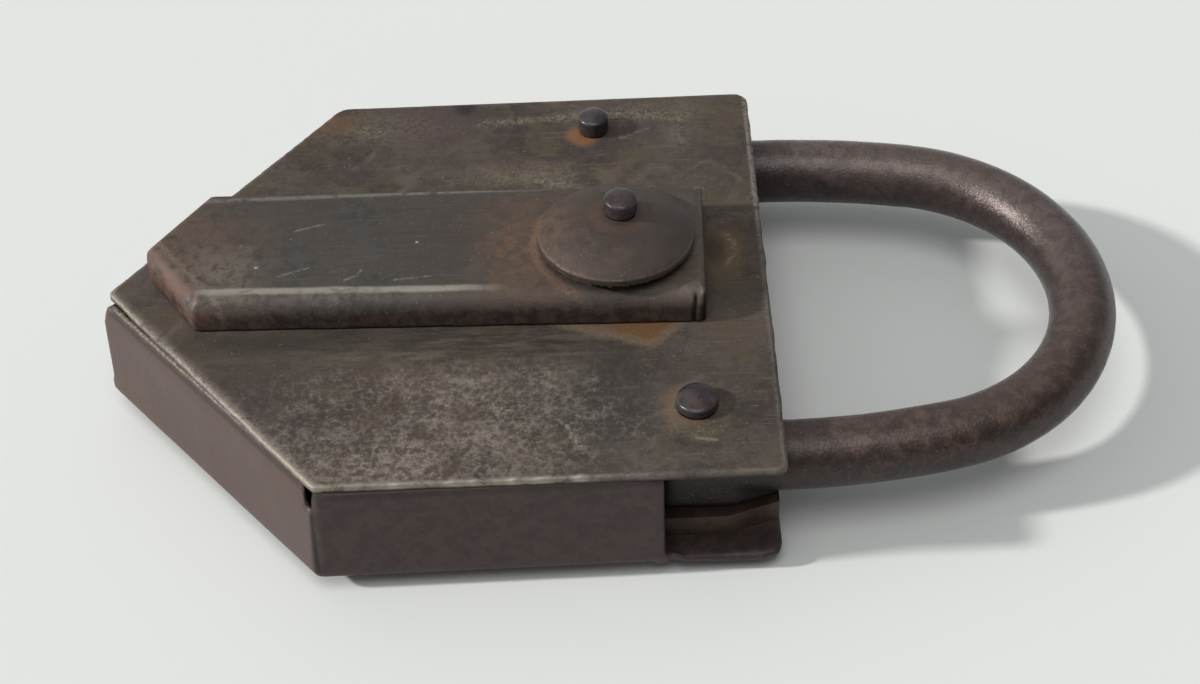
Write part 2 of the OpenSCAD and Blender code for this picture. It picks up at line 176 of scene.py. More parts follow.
def worn(node, body, grid, passes=2, dent=0.1, dent_size=14.0, pit=0.03, pit_size=2.5,
         shaping=None):
    """Replaces a CAD node with its worn skin: rounded edges, shallow dents and pits."""
    piece = even_skin(node, grid, passes)
    points = Points(piece.data)
    seed = sum(map(ord, node)) % 97
    depth = dent * (0.5 + 0.5 * points.wander(dent_size, seed))
    depth += pit * (0.5 + 0.5 * points.wander(pit_size, seed + 9))
    points.sink(depth)
    if shaping:
        shaping(points)
    points.write()
    mark_edges(piece.data)
    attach(piece, body)
    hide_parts(node)
    return piece


def tray_shaping(points):
    """The rim beaten in over the plate's edge, the open near seam and the curl at the fold's end."""
    place = points.place
    along = (PLATE_NEAR - PLATE_TIP).normalized()
    # the top of the sloping wall leans in and stands a little higher
    band, lean = 3, 0.95
    up = np.clip((place[:, 2] - (RIM - band)) / band, 0, 1)
    outside = (place[:, 0] - PLATE_TIP.x) * along.y - (place[:, 1] - PLATE_TIP.y) * along.x
    sloping = np.clip(outside + 1.8, 0, 1) * up
    place[:, 0] -= lean * sloping ** 2 * along.y
    place[:, 1] += lean * sloping ** 2 * along.x
    place[:, 2] += up * 0.45 + sloping * 0.35
    # a groove down the corner where the two walls meet
    groove_width = 0.9
    away = np.hypot(place[:, 0] - TRAY_NEAR.x, place[:, 1] - TRAY_NEAR.y)
    groove = np.clip(1 - away / groove_width, 0, 1) * np.clip(place[:, 2] - 1.5, 0, 1)
    place[:, 0] += 0.3 * groove
    place[:, 1] += 0.45 * groove
    # the cut end of the sloping wall is ragged
    jag_size, jag_depth = 1.6, 0.9
    beside = np.clip(1 - away / 2.6, 0, 1) * np.clip((place[:, 2] - 7) / 4, 0, 1)
    beside *= place[:, 0] < TRAY_NEAR.x + 0.3
    jag = np.array([noise.noise((z / jag_size, 0.4, 7.0)) for z in place[:, 2]])
    place[:, 0] += beside * jag * along.x * jag_depth
    place[:, 1] += beside * jag * along.y * jag_depth
    # the end of the near fold is curled up
    points.pull((-18.6, -47.4, 1.0), (2.2, 2.0, 2.6), (0, 0.2, 1.0))


def plate_shaping(points):
    """The outline a little uneven from the shears, with small burrs along the near edge."""
    sideways = points.facing[:, :2] * (np.abs(points.facing[:, 2]) < 0.7)[:, None]
    uneven = points.wander(5.0, 4.0) * 0.16 + points.wander(1.3, 8.0) * 0.1 - 0.08
    points.place[:, :2] += sideways * uneven[:, None]
    for x, reach, height, _ in BURRS:
        points.pull((x, PLATE_NEAR.y + 0.3, PLATE_TOP), (reach, 1.0, 1.2), (0, -0.12, height))


def cover_shaping(points):
    """The butted near corner of the shackle end: two narrow grooves that curve over the bend."""
    place = points.place
    deep = 0.42
    front = np.clip((-9.5 - place[:, 1]) / 1.5, 0, 1)
    lean = GROOVE_LEAN * np.clip((place[:, 2] - LEAN_LOW) / (LEAN_HIGH - LEAN_LOW), 0, 1)
    for x, width, _ in COVER_GROOVES:
        cut = np.clip(1 - np.abs(place[:, 0] - x - lean) / width, 0, 1) * front
        place[:, 1] += deep * cut * np.clip((COVER_TOP - 0.2 - place[:, 2]) / 1.0, 0, 1)


# ---------------------------------------------------------------- finishes


def tone(red, green, blue):
    """A colour given as 0 to 255 on screen, as the shader wants it."""
    def linear(value):
        value /= 255
        return value / 12.92 if value <= 0.04045 else ((value + 0.055) / 1.055) ** 2.4
    return (linear(red), linear(green), linear(blue), 1.0)


class Signal:
    """A number that varies over a surface: sums and products on it add the Math nodes."""

    def __init__(self, finish, socket):
        self.finish = finish
        self.socket = socket

    def math(self, operation, *values):
        node = self.finish.add("ShaderNodeMath", {"operation": operation}, dict(enumerate(values)))
        return Signal(self.finish, node.outputs[0])

    def __add__(self, other):
        return self.math("ADD", self, other)

    def __sub__(self, other):
        return self.math("SUBTRACT", self, other)

    def __rsub__(self, other):
        return self.math("SUBTRACT", other, self)

    def __mul__(self, other):
        return self.math("MULTIPLY", self, other)

    def __truediv__(self, other):
        return self.math("DIVIDE", self, other)

    __radd__ = __add__
    __rmul__ = __mul__

    def root(self):
        return self.math("SQRT", self)

    def size(self):
        return self.math("ABSOLUTE", self)

    def most(self, other):
        return self.math("MAXIMUM", self, other)

    def least(self, other):
        return self.math("MINIMUM", self, other)

    def rise(self, low, high):
        """0 below low, 1 above high and a smooth step between; high may be the lower one."""
        flipped = low > high
        settings = {"interpolation_type": "SMOOTHSTEP", "clamp": True}
        sockets = {"Value": self, "From Min": min(low, high), "From Max": max(low, high),
                   "To Min": float(flipped), "To Max": float(not flipped)}
        return Signal(self.finish, self.finish.add("ShaderNodeMapRange", settings, sockets).outputs[0])


def add_node(tree, kind, settings=None, sockets=None):
    """Adds any node: its settings first, then the values or links of its sockets."""
    node = tree.nodes.new(kind)
    for name, value in (settings or {}).items():
        setattr(node, name, value)
    for key, value in (sockets or {}).items():
        socket = node.inputs[key]
        if isinstance(value, Signal):
            value = value.socket
        if isinstance(value, bpy.types.NodeSocket):
            tree.links.new(value, socket)
        else:
            socket.default_value = value
    return node


class Finish:
    """One material, built up in coats: colour, roughness, metal and height so far."""

    def __init__(self, name):
        self.material = bpy.data.materials.new(name)
        self.material.use_nodes = True
        self.tree = self.material.node_tree
        self.tree.nodes.clear()
        place = self.add("ShaderNodeTexCoord").outputs["Object"]
        shift = tuple(-c / MM for c in ORIGIN)
        self.place = self.add("ShaderNodeVectorMath", {"operation": "MULTIPLY_ADD"},
                              {0: place, 1: (1 / MM,) * 3, 2: shift}).outputs[0]
        split = self.add("ShaderNodeSeparateXYZ", {}, {0: self.place})
        self.x, self.y, self.z = (Signal(self, socket) for socket in split.outputs)
        proud = self.add("ShaderNodeAttribute", {"attribute_name": "proud"})
        self.proud = Signal(self, proud.outputs["Fac"])

    def add(self, kind, settings=None, sockets=None):
        return add_node(self.tree, kind, settings, sockets)

    def noise(self, size, detail=4.0, rough=0.55, stretch=(1.0, 1.0, 1.0), seed=0.0, warp=0.0):
        """Cloudy noise round 0.5 whose lumps are about size millimetres across."""
        scale = tuple(1 / (size * s) for s in stretch)
        place = self.add("ShaderNodeVectorMath", {"operation": "MULTIPLY_ADD"},
                         {0: self.place, 1: scale, 2: (seed, seed * 1.7, -seed)}).outputs[0]
        node = self.add("ShaderNodeTexNoise", {"noise_dimensions": "3D"},
                        {"Vector": place, "Scale": 1.0, "Detail": detail, "Roughness": rough,
                         "Distortion": warp})
        return Signal(self, node.outputs["Fac"])

    def cells(self, size, seed=0.0, warp=0.5):
        """0 in the middle of small uneven cells and up to about 1 where they meet."""
        shift = self.add("ShaderNodeVectorMath", {"operation": "MULTIPLY_ADD"},
                         {0: self.place, 1: (1 / size,) * 3, 2: (seed, -seed, seed * 0.6)}).outputs[0]
        bend = self.add("ShaderNodeTexNoise", {"noise_dimensions": "3D"},
                        {"Vector": shift, "Scale": 1.4, "Detail": 3.0, "Roughness": 0.6})
        bent = self.add("ShaderNodeVectorMath", {"operation": "MULTIPLY_ADD"},
                        {0: bend.outputs["Color"], 1: (warp,) * 3, 2: shift}).outputs[0]
        node = self.add("ShaderNodeTexVoronoi", {"feature": "F1"}, {"Vector": bent, "Scale": 1.0})
        return Signal(self, node.outputs["Distance"])

    def ring(self, centre, radius, width, ragged=0.0):
        """1 along a circle seen from above and 0 away from it."""
        across, along = self.x - centre[0], self.y - centre[1]
        away = ((across * across + along * along).root() - radius).size()
        return (away + (self.rag - 0.5) * (2 * ragged)).rise(width, width * 0.2)

    def side(self, start, end):
        """Distance in millimetres to the left of a line that runs from start to end."""
        run = (Vector(end) - Vector(start)).normalized()
        return (self.y - start[1]) * run.x - (self.x - start[0]) * run.y

    def patch(self, centre, reach, soft=0.5, ragged=0.8):
        """1 inside a ragged oval and 0 outside it."""
        across = (self.x - centre[0]) / reach[0]
        along = (self.y - centre[1]) / reach[1]
        away = (across * across + along * along).root() + (self.rag - 0.5) * (2 * ragged)
        return away.rise(1 + soft, 1 - soft)

    def stroke(self, start, end, width, soft=0.5, ragged=0.0):
        """1 along a straight line seen from above and 0 away from it."""
        run = (end[0] - start[0], end[1] - start[1])
        length = math.hypot(*run)
        way = (run[0] / length, run[1] / length)
        off_x = self.x - start[0]
        off_y = self.y - start[1]
        along = (off_x * way[0] + off_y * way[1]).most(0.0).least(length)
        left_x = off_x - along * way[0]
        left_y = off_y - along * way[1]
        away = (left_x * left_x + left_y * left_y).root()
        if ragged:
            away = away + (self.rag - 0.5) * (2 * ragged)
        return away.rise(width * (1 + soft), width * (1 - soft))

    def mix(self, mask, under, over):
        """A colour: under where the mask is 0, over where it is 1."""
        colour_a, colour_b, colour_out = 6, 7, 2   # the Mix node's own colour sockets
        node = self.add("ShaderNodeMix", {"data_type": "RGBA"},
                        {"Factor": mask, colour_a: under, colour_b: over})
        return node.outputs[colour_out]

    def start(self, colour, roughness, metal):
        self.colour, self.roughness, self.metal = colour, roughness, metal

    def lay(self, mask, colour, roughness=None, metal=None):
        """Lays a coat over what is there, where the mask is 1."""
        self.colour = self.mix(mask, self.colour, colour)
        if roughness is not None:
            self.roughness = self.roughness + mask * (roughness - self.roughness)
        if metal is not None:
            self.metal = self.metal + mask * (metal - self.metal)

    def close(self, height, depth):
        """Joins the coats to the shader and the surface; depth is the relief in millimetres."""
        bump = self.add("ShaderNodeBump", {},
                        {"Height": height, "Strength": 1.0, "Distance": depth * MM})
        shader = self.add("ShaderNodeBsdfPrincipled", {}, {
            "Base Color": self.colour, "Roughness": self.roughness, "Metallic": self.metal,
            "Normal": bump.outputs[0], "Specular IOR Level": 0.4})
        self.add("ShaderNodeOutputMaterial", {}, {"Surface": shader.outputs[0]})
        return self.material


DEEP_RUST = tone(84, 56, 40)
WORN = tone(166, 157, 145)
OLIVE = tone(86, 76, 58)
PURPLE = tone(70, 58, 57)
SOOT = tone(48, 40, 37)


def patina(f, dark, pale, seed=0.0, size=18.0, rough=0.42):
    """Old iron's skin: cloudy brown tones with a mottle and a fine grain over them."""
    f.rag = f.noise(5.0, 5.0, 0.6, seed=seed + 3)
    f.cloud = f.noise(size, 4.0, 0.55, seed=seed, warp=0.4)
    f.mottle = f.noise(2.2, 5.0, 0.7, seed=seed + 7, warp=0.4)
    f.grain = f.noise(0.55, 4.0, 0.7, seed=seed + 11)
    f.tint = f.noise(size * 0.6, 4.0, 0.6, seed=seed + 19)
    spread = (f.cloud * 0.42 + f.mottle * 0.36 + f.grain * 0.22).rise(0.4, 0.6)
    f.start(f.mix(spread, dark, pale), rough + 0.3 * f.mottle - 0.1 * f.cloud, 0.15 + 0.3 * spread)


def rubbing(f, size=0.5, seed=25, amount=0.3, pale=tone(118, 108, 97)):
    """Fine lines along the lock where it has been wiped and slid about."""
    lines = f.noise(size, 3.0, 0.6, stretch=(16.0, 1.0, 1.0), seed=seed)
    f.lay(lines.rise(0.58, 0.72) * amount, pale)
    f.lay(lines.rise(0.42, 0.3) * amount, SOOT)


def flecks(f, amount, seed):
    """Bright pinpricks where bare iron shows."""
    pricks = f.noise(0.4, 2.0, 0.5, seed=seed)
    f.lay(pricks.rise(0.69, 0.77) * amount, WORN, 0.4, 0.6)


def relief(f):
    """Height of the scale and the fine pitting."""
    return f.mottle * 0.6 + f.grain * 0.45 + f.rag * 0.35


def plate_stains(f):
    """Streaks and smudges laid over the plate's patina, and a painted shade along the cover's near
    side.
    """
    streaks = f.noise(1.5, 4.0, 0.65, stretch=(6.0, 1.0, 1.0), seed=21)
    pale_streaks = f.patch((-66, -17), (30, 5), 0.8, 0.5) * streaks.rise(0.42, 0.66)
    dark_streaks = f.patch((-45, -16.5), (18, 4), 0.8, 0.5) * streaks.rise(0.66, 0.36)
    f.lay(pale_streaks * 0.7, tone(100, 90, 74))
    f.lay(dark_streaks * 0.85, SOOT)
    # painted shade: a dark band on the plate along the cover's near side
    f.lay(f.patch((-79, -14), (22, 2.6), 0.8, 0.5) * 0.6, tone(46, 42, 38))
    f.lay(f.patch((-85, -29), (10, 11), 0.7, 0.8) * 0.7, tone(62, 51, 49))
    f.lay(f.patch((-77, -35), (6, 6), 0.7, 0.8) * 0.5, tone(60, 50, 48))
    f.lay(f.patch((-29, -31), (9, 10), 0.4, 0.4) * 0.8, tone(56, 52, 49), 0.45)
    f.lay(f.patch((-59, 43), (9, 6), 0.6, 0.7) * 0.6, tone(76, 63, 63))
    f.lay(f.patch((-53, 47.5), (1.8, 2.4), 0.5, 0.3) * 0.8, tone(40, 36, 38))


def plate_bare_iron(f):
    """The near side rubbed down to bare iron, paler between small pits; gives back where it is bare."""
    rubbed = f.patch((-56, -34), (25, 15), 0.8, 0.9) * f.y.rise(-16.0, -25.0)
    bright = f.patch((-62, -43), (21, 7), 0.9, 0.8)
    zone = rubbed.most(bright)
    cells = f.cells(1.1, seed=31, warp=1.3)
    thick = (f.blotch * 0.6 + f.mottle * 0.4).rise(0.36, 0.6)
    speckle = cells * 0.3 + f.lace * 0.5
    bare = (speckle + f.grain * 0.5 + bright * 0.05 + thick * 0.1).rise(0.62, 1.0) * zone
    f.lay(zone * thick * 0.3, tone(104, 94, 85), 0.46, 0.4)
    f.lay(bare * 0.95, tone(150, 139, 127), 0.42, 0.5)
    pits = (speckle + f.blotch * 0.25).rise(0.47, 0.33)
    f.lay(pits * zone * 0.55, tone(62, 53, 43), 0.6, 0.1)
    for spot, reach in (((-67, -33), 3.6), ((-60, -36.5), 1.5), ((-57.5, -37.5), 1.4),
                        ((-52, -33), 2.8), ((-68, -21), 2.6), ((-64, -29), 1.8), ((-54, -44), 2.0)):
        f.lay(f.patch(spot, (reach, reach), 0.8, 0.9) * 0.6, tone(66, 55, 42), 0.6, 0.1)
    return bare


def plate_rubs(f, worn_through):
    """Pale rubs on the far side and a crooked scratch by the hinge."""
    rub = f.patch((-42, 27.0), (10, 3.2), 0.9, 0.8)
    f.lay(rub * (0.3 + worn_through) * 0.5, tone(122, 110, 92))
    for start, end, width in (((-40, 25.5), (-30, 22.6), 0.7), ((-50, 42.5), (-25, 44), 1.0),
                              ((-25, 44), (-13, 42), 0.8), ((-24, 37), (-19, 39.5), 0.5)):
        f.lay(f.stroke(start, end, width, 0.9, 0.9) * worn_through * 0.6, tone(128, 118, 104))
    for centre, reach in (((-13.5, 37), (2.2, 6)), ((-70, 42), (11, 4)), ((-22, 44), (12, 2.4))):
        f.lay(f.patch(centre, reach, 0.9, 0.9) * worn_through * 0.45, tone(126, 116, 104))
    f.lay(f.patch((-78, 44), (4, 4), 0.8, 0.8) * 0.5, tone(104, 74, 52))
    scratch = ((-39, -33), (-35.5, -36), (-34, -40), (-31, -43.5))
    for start, end in zip(scratch, scratch[1:]):
        f.lay(f.stroke(start, end, 0.3, 0.9, 0.25) * worn_through * 0.45, WORN, 0.4, 0.6)


def plate_rust(f, worn_through):
    """The rusty triangle rubbed out beside the cover, and rust round the rivets and the cover's end."""
    edge = f.side((-35, -13), (-21, -18.4)).least(f.side((-21, -18.4), (-15.5, -13.2)))
    edge = edge + (f.rag - 0.5) * 2
    below = f.y.rise(-9.0, -11.0)
    core = f.x.rise(-31, -25)
    brown = f.mix(core, tone(92, 78, 66), tone(98, 68, 38))
    f.lay(edge.rise(-0.2, 1.6) * below * 0.85, brown, 0.7, 0.0)
    border = (edge - 0.3).size().rise(1.6, 0.1) * below
    f.lay(border * (0.45 + 0.55 * worn_through) * 0.75, tone(124, 108, 88), 0.5, 0.3)
    toe_rust = f.patch((TOE.x - 1.9, TOE.y - 1.7), (3.0, 2.8), 0.4, 0.4)
    f.lay(toe_rust * 0.8, tone(126, 82, 50), 0.75, 0.0)
    hinge_rust = f.patch((HINGE.x - 1.9, HINGE.y - 0.2), (3.9, 4.4), 0.5, 0.4)
    f.lay(hinge_rust * 0.5, tone(128, 104, 82), 0.7, 0.0)
    hinge_rub = f.patch((HINGE.x + 0.6, HINGE.y - 6), (3.2, 1.7), 0.9, 0.6)
    f.lay(hinge_rub * worn_through * 0.6, tone(118, 106, 76))
    f.lay(f.stroke((-14.5, -40), (-11.4, -40.6), 0.3, 0.8, 0.2) * 0.6, tone(132, 122, 104))
    f.lay(f.patch((-7.4, 4.5), (3.4, 5.6), 0.7, 0.6) * 0.7, tone(98, 78, 52), 0.7, 0.1)
    f.lay(f.patch((-8.9, 5.0), (1.7, 3.4), 0.6, 0.5) * 0.8, tone(48, 36, 28), 0.7, 0.0)
    halo = f.ring((-10.5, 5.4), 5.2, 0.8, 0.5) * f.x.rise(-8, -6)
    f.lay(halo * worn_through * 0.7, tone(130, 118, 100))


def plate_edges(f):
    """The edges rubbed pale: most along the tip, less along the near edge and the shackle end; the side
    face below them gets painted shade.
    """
    tip_edge = f.side(PLATE_TIP, PLATE_NEAR)
    toward = f.y.rise(-5, -45)
    tip_rub = tip_edge.rise(2.4, 0.3) * (0.5 + 0.5 * toward)
    f.lay(tip_rub * (f.lace * 0.5 + f.grain * 0.5).rise(0.34, 0.58) * 0.95,
          tone(152, 142, 130), 0.48, 0.4)
    near_rub = f.y.rise(-46.7, -47.5) * f.x.rise(-14, -40)
    f.lay(near_rub * (f.lace * 0.6 + f.blotch * 0.4).rise(0.38, 0.56) * 0.7,
          tone(132, 124, 113), 0.46, 0.4)
    for x, _, _, reach in BURRS:
        spot = f.patch((x, PLATE_NEAR.y + 0.3), (reach, 0.5), 0.8, 0.7)
        f.lay(spot * 0.65, tone(168, 162, 152), 0.4, 0.5)
    end_rub = f.x.rise(-1.5, -0.8) * (f.y.rise(10, 18) * 0.6 + 0.25)
    f.lay(end_rub * f.lace.rise(0.38, 0.54), tone(146, 138, 128), 0.42, 0.5)
    corner = f.proud.rise(0.02, 0.09) * f.z.rise(PLATE_TOP - 0.9, PLATE_TOP - 0.5)
    near_strength = f.y.rise(-45.5, -46.8) * f.x.rise(-20, -60) * 0.4
    strength = tip_edge.rise(2.6, 1.6) * 0.6 + near_strength + 0.2
    f.lay(corner * strength * (f.mottle * 0.5 + f.cloud * 0.5).rise(0.38, 0.56),
          tone(140, 132, 120), 0.5, 0.4)
    # painted shade: the plate's side face below its top edge is darkened
    f.lay(f.z.rise(PLATE_TOP - 0.7, PLATE_TOP - 1.1) * 0.75, tone(56, 52, 48))


def plate_finish():
    f = Finish("plate_patina")
    patina(f, tone(56, 48, 43), tone(92, 82, 74), seed=2.0, rough=0.62)
    f.blotch = f.noise(8.0, 4.0, 0.6, seed=23, warp=1.0)
    f.lace = f.noise(0.9, 4.0, 0.65, seed=33, warp=1.2)
    f.lay(f.tint.rise(0.5, 0.64) * 0.5, OLIVE)
    f.lay(f.tint.rise(0.48, 0.36) * 0.5, PURPLE)
    f.lay(f.blotch.rise(0.54, 0.7) * 0.45, tone(104, 94, 85))
    rubbing(f)
    plate_stains(f)
    bare = plate_bare_iron(f)
    worn_through = f.lace.rise(0.4, 0.62)
    plate_rubs(f, worn_through)
    plate_rust(f, worn_through)
    flecks(f, 0.5, seed=71)
    plate_edges(f)
    return f.close(relief(f) + bare * 0.25, 0.11)


def tray_finish():
    f = Finish("tray_patina")
    patina(f, tone(80, 66, 62), tone(98, 82, 77), seed=5.0, size=26.0, rough=0.4)
    f.lay(f.tint.rise(0.5, 0.68) * 0.4, tone(100, 74, 62))
    blotch = f.noise(7.0, 5.0, 0.62, seed=45, warp=0.8)
    # the far wall and the back are dirtier
    unseen = f.y.rise(20, 40).most(f.z.rise(1.2, 0.5))
    f.lay(unseen * blotch.rise(0.4, 0.6) * 0.6, tone(70, 58, 52), 0.55, 0.1)
    f.lay(unseen * blotch.rise(0.5, 0.36) * 0.45, tone(96, 86, 80), 0.45, 0.3)
    f.lay(blotch.rise(0.56, 0.7) * 0.25, tone(74, 62, 58))
    drips = f.noise(0.6, 4.0, 0.6, stretch=(1, 1, 9), seed=41)
    f.lay(drips.rise(0.6, 0.75) * 0.2, tone(130, 112, 104))
    rust = f.noise(3.0, 5.0, 0.65, seed=43).rise(0.55, 0.7) * f.z.rise(8.0, 1.0)
    f.lay(rust * 0.35, DEEP_RUST, 0.7, 0.0)
    patchy = f.mottle.rise(0.4, 0.6)
    # painted shade: the near wall, turned away from the lamps, is darker
    near_wall_shade = f.y.rise(-46.6, -47.9) * f.x.rise(-79.0, -77.2)
    f.lay(near_wall_shade * 0.8, f.mix(patchy, tone(50, 37, 36), tone(66, 51, 49)), 0.6, 0.1)
    # painted shadow under the plate's edge, and the corners of the sloping wall rubbed bare
    f.lay(f.z.rise(RIM - 1.4, RIM - 0.5) * 0.5, tone(40, 34, 32))
    rub = f.proud.rise(0.05, 0.16) * f.x.rise(-76, -79)
    f.lay(rub * f.grain.rise(0.4, 0.6) * 0.4, WORN, 0.45, 0.5)
    # painted shade: the end of the near fold in the shackle's opening, under the plate, is darkened
    tongue_shade = f.x.rise(-20.6, -19.4) * f.y.rise(-40, -43)
    f.lay(tongue_shade * 0.75, f.mix(patchy, tone(34, 28, 28), tone(60, 49, 46)), 0.55, 0.2)
    seam = f.stroke(TRAY_NEAR, TRAY_NEAR + Vector((2, 2.4)), 0.5, 0.6)
    f.lay(seam * f.z.rise(1.0, 3.0) * 0.85, tone(26, 21, 20), 0.8, 0.0)
    return f.close(f.mottle * 0.5 + f.grain * 0.5 + f.rag * 0.5, 0.08)


def cover_stains(f):
    """Rust at the tip, round the washer and at the shackle end, and the flange darker below its top."""
    tip_rust = f.patch((-104, 2), (12, 15), 0.9, 0.8) * f.mottle.rise(0.3, 0.56)
    f.lay(tip_rust * 0.65, tone(98, 78, 64), 0.6, 0.1)
    washer_rust = f.patch((-42, 0), (6.5, 12), 0.9, 0.9) * (0.4 + 0.6 * f.mottle.rise(0.4, 0.6))
    f.lay(washer_rust * 0.7, tone(108, 80, 58), 0.65, 0.1)
    washer_ring = f.ring((-26.1, 1.05), 14.2, 1.1, 0.5) * f.x.rise(-30, -36)
    f.lay(washer_ring * f.grain.rise(0.36, 0.56) * 0.6, tone(134, 104, 82), 0.6, 0.2)
    pale_spot = f.patch((-94, -3), (6, 5), 0.9, 0.8) * f.mottle.rise(0.36, 0.56)
    f.lay(pale_spot * 0.5, tone(122, 111, 98))
    f.lay(f.patch((-14, -4), (6, 14), 0.7, 0.6) * 0.8, tone(102, 91, 83))
    f.lay(f.x.rise(-46, -36) * f.mottle.rise(0.36, 0.6) * 0.5, tone(84, 69, 60))
    flange = f.z.rise(COVER_TOP - 1.4, COVER_TOP - 3.0)
    f.lay(flange * 0.85, f.mix(f.mottle.rise(0.38, 0.62), tone(54, 43, 41), tone(84, 69, 64)),
          0.5, 0.2)
    tip_bend = f.side((-107, 0.5), (-98, -12))
    f.lay(tip_bend.rise(4.5, 1.0) * f.mottle.rise(0.34, 0.6) * 0.6, tone(108, 74, 62), 0.6, 0.1)
    f.lay((tip_bend - 4.2).size().rise(0.9, 0.1) * f.grain.rise(0.36, 0.56) * 0.5,
          tone(132, 112, 98), 0.5, 0.3)


def cover_edges(f):
    """The bright line where the near bend starts and the paler far edge, worn iron with a painted
    highlight on both, and the rubbed corners.
    """
    bend = f.side((-97, -7.6), (-46, -9.2))
    along = f.x.rise(-43, -56) * f.x.rise(-99, -95)
    scuffs = (f.cloud * 0.4 + f.mottle * 0.6).rise(0.36, 0.54)
    # the near bend's line: worn iron with a painted highlight where the bend catches the light
    line = (bend + (f.rag - 0.5) * 0.8).size().rise(1.05, 0.2)
    f.lay(line * along * (0.3 + 0.7 * scuffs), tone(164, 157, 145), 0.38, 0.6)
    rubbed = bend.rise(0.2, -0.5) * bend.rise(-4.2, -1.0) * f.x.rise(-52, -76)
    f.lay(rubbed * (f.rag * 0.5 + f.mottle * 0.5).rise(0.42, 0.58) * 0.4,
          tone(118, 108, 98), 0.4, 0.4)
    # the far edge's line: worn iron with a painted highlight
    far_line = (f.y - 16.0).size().rise(0.9, 0.1) * f.x.rise(-30, -48) * f.x.rise(-100, -96)
    f.lay(far_line * f.mottle.rise(0.3, 0.55) * 0.75, tone(134, 127, 120), 0.4, 0.5)
    corner = f.proud.rise(0.03, 0.1) * f.z.rise(COVER_TOP - 1.2, COVER_TOP - 0.6)
    f.lay(corner * f.grain.rise(0.34, 0.54) * 0.7, tone(140, 132, 122), 0.4, 0.5)
    end = f.x.rise(-11.6, -11.0) * f.z.rise(COVER_TOP - 1.0, COVER_TOP - 0.3)
    f.lay(end * f.grain.rise(0.36, 0.54) * 0.6, tone(134, 128, 122), 0.4, 0.5)
    front = f.y.rise(-10.2, -11.2) * f.z.rise(COVER_TOP - 0.4, COVER_TOP - 1.4)
    lean = f.z.rise(LEAN_LOW, LEAN_HIGH) * GROOVE_LEAN
    for x, _, width in COVER_GROOVES:
        groove = (f.x - x - lean).size().rise(width + 0.15, width - 0.2)
        f.lay(groove * front * 0.85, tone(22, 18, 17))


def cover_finish():
    f = Finish("cover_patina")
    patina(f, tone(56, 54, 51), tone(82, 77, 73), seed=8.0, rough=0.54)
    f.lay(f.tint.rise(0.46, 0.6) * 0.4, tone(78, 64, 56))
    rubbing(f, 0.6, 27, 0.25, tone(104, 99, 93))
    cover_stains(f)
    cover_edges(f)
    flecks(f, 0.5, seed=73)
    for spot, reach in (((-88, -2), 0.32), ((-60.5, 3), 0.26)):
        f.lay(f.patch(spot, (reach, reach), 0.6, 0.4), tone(170, 164, 154), 0.4, 0.6)
    for start, end in (((-72.6, -6), (-70.6, -5)), ((-70.6, -5), (-69.8, -3.6)),
                       ((-84, -4.4), (-79, -2.6)), ((-82, 7), (-77, 8.6)), ((-64, -6.4), (-58, -5.8))):
        scratch = f.stroke(start, end, 0.2, 0.9) * f.grain.rise(0.36, 0.56)
        f.lay(scratch * 0.5, tone(150, 144, 136), 0.4, 0.5)
    return f.close(relief(f), 0.1)


def washer_finish():
    f = Finish("washer_patina")
    patina(f, tone(52, 43, 39), tone(76, 64, 57), seed=12.0, size=9.0, rough=0.5)
    f.lay(f.tint.rise(0.5, 0.66) * 0.5, tone(84, 68, 58))
    rubbing(f, 0.4, 29, 0.2, tone(96, 86, 80))
    rust = f.patch((-37, 2), (3.0, 9), 0.9, 0.7) * f.mottle.rise(0.36, 0.58)
    f.lay(rust * 0.5, tone(98, 74, 56), 0.65, 0.1)
    f.lay(f.patch((-17, 1), (6, 12), 0.9, 0.6) * 0.5, tone(94, 86, 81))
    f.lay(f.proud.rise(0.03, 0.1) * f.grain.rise(0.34, 0.54) * 0.7, tone(138, 124, 110), 0.45, 0.4)
    # painted shade: the rim's side face below the dome is darkened
    f.lay(f.z.rise(30.4, 29.6) * 0.7, tone(38, 31, 29), 0.7, 0.0)
    f.lay(f.ring(PIVOT, 4.6, 1.4, 0.6) * 0.4, tone(84, 60, 46), 0.7, 0.0)
    flecks(f, 0.5, seed=75)
    return f.close(relief(f), 0.1)


def shackle_finish():
    f = Finish("shackle_iron")
    patina(f, tone(58, 46, 43), tone(88, 74, 69), seed=15.0, size=20.0, rough=0.17)
    patchy = f.mottle.rise(0.4, 0.6)
    far_grey = f.y.rise(-24, 20) * f.z.rise(9, 15)
    f.lay(far_grey * (0.3 + 0.4 * patchy), tone(104, 94, 90))
    f.lay(f.noise(3.0, 5.0, 0.7, seed=51).rise(0.52, 0.68) * 0.5, tone(98, 72, 58), 0.5, 0.1)
    f.lay(f.y.rise(6.0, -20.0) * f.mottle.rise(0.5, 0.64) * 0.4, tone(100, 82, 68), 0.5, 0.1)
    # painted shade: the underside is darker, and so are the legs near the case, where the case shades
    # them
    f.lay(f.z.rise(18.6, 11) * 0.75, f.mix(patchy, tone(32, 27, 28), tone(56, 45, 43)))
    shaded_legs = (f.x + (f.rag - 0.5) * 16).rise(12, -5) * f.z.rise(19.5, 16)
    f.lay(shaded_legs * 0.8, tone(36, 30, 29), 0.35, 0.2)
    flecks(f, 0.6, seed=77)
    return f.close(f.mottle * 0.6 + f.grain * 0.7 + f.rag * 0.3, 0.14)


